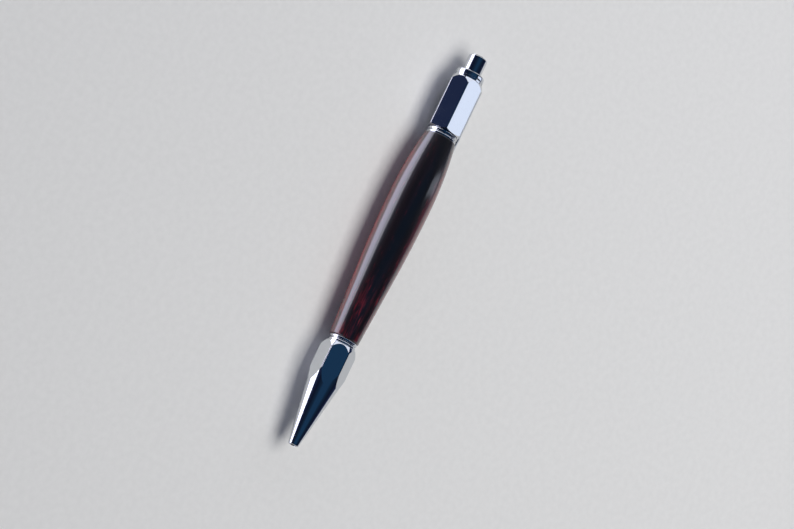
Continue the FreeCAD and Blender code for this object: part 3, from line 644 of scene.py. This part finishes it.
def spring_tree(wire_material):
    """Geometry nodes for a coil spring along X whose end turns lie close together."""
    tree = bpy.data.node_groups.new("coil_spring", "GeometryNodeTree")
    face = tree.interface
    for name in ("Turns", "Coil Radius", "Wire Radius", "Length", "Start", "Y", "Z"):
        face.new_socket(name, in_out="INPUT", socket_type="NodeSocketFloat")
    face.new_socket("Geometry", in_out="OUTPUT", socket_type="NodeSocketGeometry")
    given = add(tree, "NodeGroupInput").outputs
    spiral = add(tree, "GeometryNodeCurveSpiral", {
        "Resolution": COIL_STEPS, "Rotations": given["Turns"], "Start Radius": given["Coil Radius"],
        "End Radius": given["Coil Radius"], "Height": 0.0,
    })
    along = add(tree, "GeometryNodeSplineParameter").outputs["Factor"]
    closed = calculate(tree, "DIVIDE", 1.0, given["Turns"])
    rise = add(tree, "ShaderNodeMapRange", {
        "Value": along, "From Min": closed, "From Max": calculate(tree, "SUBTRACT", 1.0, closed),
    }).outputs["Result"]
    wire = calculate(tree, "MULTIPLY", given["Wire Radius"], CLOSED_PITCH)
    packed = calculate(tree, "MULTIPLY", calculate(tree, "MULTIPLY", along, given["Turns"]), wire)
    spare = calculate(tree, "SUBTRACT", given["Length"], calculate(tree, "MULTIPLY", given["Turns"], wire))
    place = calculate(tree, "MULTIPLY_ADD", rise, spare, packed)
    position = add(tree, "GeometryNodeInputPosition").outputs["Position"]
    flat = add(tree, "ShaderNodeSeparateXYZ", {"Vector": position}).outputs
    turned = add(tree, "ShaderNodeCombineXYZ", {
        "X": calculate(tree, "ADD", place, given["Start"]),
        "Y": calculate(tree, "ADD", flat["X"], given["Y"]),
        "Z": calculate(tree, "ADD", flat["Y"], given["Z"]),
    }).outputs["Vector"]
    coil = add(tree, "GeometryNodeSetPosition", {"Geometry": spiral.outputs["Curve"], "Position": turned})
    section = add(tree, "GeometryNodeCurvePrimitiveCircle", {
        "Resolution": WIRE_SIDES, "Radius": given["Wire Radius"],
    })
    swept = add(tree, "GeometryNodeCurveToMesh", {
        "Curve": coil.outputs["Geometry"], "Profile Curve": section.outputs["Curve"], "Fill Caps": True,
    })
    whole = add(tree, "GeometryNodeRealizeInstances", {"Geometry": swept.outputs["Mesh"]})
    dressed = add(tree, "GeometryNodeSetMaterial", {
        "Geometry": whole.outputs["Geometry"], "Material": wire_material,
    })
    add(tree, "NodeGroupOutput", {"Geometry": dressed.outputs["Geometry"]})
    return tree


def make_spring():
    """The return spring, which seats in the nose."""
    start, length = span("return_spring")
    material = finishes["spring_steel"]
    tree = spring_tree(material)
    holder = bpy.data.objects.new("coil", bpy.data.meshes.new("coil"))
    bpy.context.scene.collection.objects.link(holder)
    coil = holder.modifiers.new("coil", "NODES")
    coil.node_group = tree
    values = {
        "Turns": SPRING_TURNS, "Coil Radius": COIL * MM, "Wire Radius": WIRE * MM,
        "Length": (length - 2 * WIRE) * MM, "Start": start + WIRE * MM, "Y": AXIS.y, "Z": AXIS.z,
    }
    for item in tree.interface.items_tree:
        if item.name in values:
            coil[item.identifier] = values[item.name]
    graph = bpy.context.evaluated_depsgraph_get()
    mesh = bpy.data.meshes.new_from_object(holder.evaluated_get(graph))
    bpy.data.objects.remove(holder)
    piece = finish_piece("return_spring_coiled", mesh, material, "nose", "return_spring")
    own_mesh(piece)


# ---------------------------------------------------------------- studio

VIEW_ROUND = 27.0       # camera's turn about the pen from straight above, towards +Y, in degrees
VIEW_LEAN = 12.0        # its lean from square-on towards the tip, in degrees
VIEW_ROLL = 25.55       # the pen's lean from upright in the view, in degrees
DISTANCE = 0.8445       # camera to the middle of the pen, in metres
LENS, SENSOR = 122.6, 36.0
AIM_RIGHT, AIM_UP = 2.98 * MM, -5.19 * MM   # where the view's middle is from the pen's


def make_camera():
    """A long lens over the pen, from its +Y side."""
    lean, around, roll = (math.radians(v) for v in (VIEW_LEAN, VIEW_ROUND, VIEW_ROLL))
    back = Vector((-math.sin(lean), math.cos(lean) * math.sin(around), math.cos(lean) * math.cos(around)))
    along = Vector((1, 0, 0))
    along = (along - back * along.dot(back)).normalized()
    across = along.cross(back)
    right = along * math.sin(roll) + across * math.cos(roll)
    up = along * math.cos(roll) - across * math.sin(roll)
    camera = bpy.data.cameras.new("camera")
    camera.lens = LENS
    camera.sensor_width = SENSOR
    camera.clip_end = 20
    holder = bpy.data.objects.new("camera", camera)
    bpy.context.scene.collection.objects.link(holder)
    turn = Matrix((right, up, back)).transposed().to_4x4()
    middle = Vector((0, AXIS.y, AXIS.z))
    eye = middle + back * DISTANCE + right * AIM_RIGHT + up * AIM_UP
    holder.matrix_world = Matrix.Translation(eye) @ turn
    bpy.context.scene.camera = holder


def area_lamp(name, width, length, level, tint):
    """A rectangular lamp, in metres, that looks white at a level of 1."""
    lamp = bpy.data.lights.new(name, "AREA")
    lamp.shape = "RECTANGLE"
    lamp.size = width
    lamp.size_y = length
    lamp.energy = level * math.pi * width * length
    lamp.color = linear(tint)[:3]
    holder = bpy.data.objects.new(name, lamp)
    bpy.context.scene.collection.objects.link(holder)
    return holder


def make_softbox(name, around, distance, size, level, tint="#FFFFFF", along=0.0, lean=0.0, in_gloss=True):
    """A lamp that faces the pen, at a turn about its axis from straight above towards +Y.

    Its size is its width round the pen and its length along it. It stands further towards the button by
    along, and leans over towards it by lean.
    """
    holder = area_lamp(name, *size, level, tint)
    holder.visible_glossy = in_gloss
    a, tip = math.radians(around), math.radians(lean)
    above = Vector((0, math.sin(a), math.cos(a)))
    beside = Vector((0, math.cos(a), -math.sin(a)))
    ahead = Vector((1, 0, 0))
    out = above * math.cos(tip) + ahead * math.sin(tip)
    back = above * math.sin(tip) - ahead * math.cos(tip)
    turn = Matrix((beside, back, out)).transposed().to_4x4()
    holder.matrix_world = Matrix.Translation(out * distance + ahead * along) @ turn


def make_reflector():
    """A lit lavender card beside the pen. It shows only as the long highlight in gloss and chrome."""
    length, width = 0.5, 0.3
    start = 17 * MM         # its near edge, from the pen's axis
    lift = 0.5 * MM         # above the table
    ahead = 0.03            # towards the button
    holder = area_lamp("reflector", length, width, 3.2, "#D6D4EE")
    holder.visible_camera = False
    place = Vector((ahead, AXIS.y + start + width / 2, lift))
    holder.matrix_world = Matrix.Translation(place) @ Matrix.Rotation(math.pi, 4, "X")


def make_floor():
    """A pale, matt laminate table top."""
    bm = bmesh.new()
    bmesh.ops.create_circle(bm, cap_ends=True, radius=6.0, segments=96)
    mesh = as_mesh(bm, "floor")
    material, tree, shader, place = new_material("pale_laminate")
    mottle = add(tree, "ShaderNodeTexNoise", {"Vector": place, "Scale": 1 / (2 * MM), "Detail": 2.0})
    tone = ramp(tree, mottle.outputs["Fac"], [(0.3, "#E6E4E0"), (0.7, "#EAE8E4")])
    tree.links.new(tone, shader.inputs["Base Color"])
    shader.inputs["Roughness"].default_value = 0.65
    mesh.materials.append(material)
    floor = bpy.data.objects.new("floor", mesh)
    bpy.context.scene.collection.objects.link(floor)


def make_world():
    """A dim studio: a pale strip over the horizon, navy above it and slate teal overhead."""
    world = bpy.data.worlds.new("studio")
    bpy.context.scene.world = world
    world.use_nodes = True
    tree = world.node_tree
    sky = tree.nodes["Background"]
    place = add(tree, "ShaderNodeTexCoord").outputs["Generated"]
    height = add(tree, "ShaderNodeSeparateXYZ", {"Vector": place}).outputs["Z"]
    tone = ramp(tree, height, [
        (0.0, "#E6E8EE"), (0.06, "#D4D8E4"), (0.13, "#26304E"), (0.35, "#1B2540"),
        (0.55, "#12172A"), (0.85, "#172A40"), (0.94, "#1E3C5A"),
    ])
    tree.links.new(tone, sky.inputs["Color"])
    sky.inputs["Strength"].default_value = 1.0


dress_solids()
make_wood()
make_ring("front_trim_ring", FRONT_RING)
make_ring("rear_trim_ring", REAR_RING)
make_nose()
make_cap()
make_collar()
make_button()
make_clip()
make_spring()
make_floor()
make_world()
make_softbox("overhead", -16, 1.2, (0.7, 1.2), 4.75, in_gloss=False)
make_softbox("face_card", -56, 0.9, (0.66, 0.1), 1.3, "#E6EEFF", along=0.315)
make_softbox("end_card", 10, 1.0, (1.8, 0.45), 1.2, "#EEF2FF", lean=62)
make_softbox("low_strip", 85.5, 1.0, (0.1, 1.6), 3.0, "#E4E2F2", along=0.3)
make_reflector()
make_camera()
bpy.context.scene.view_settings.view_transform = "Standard"
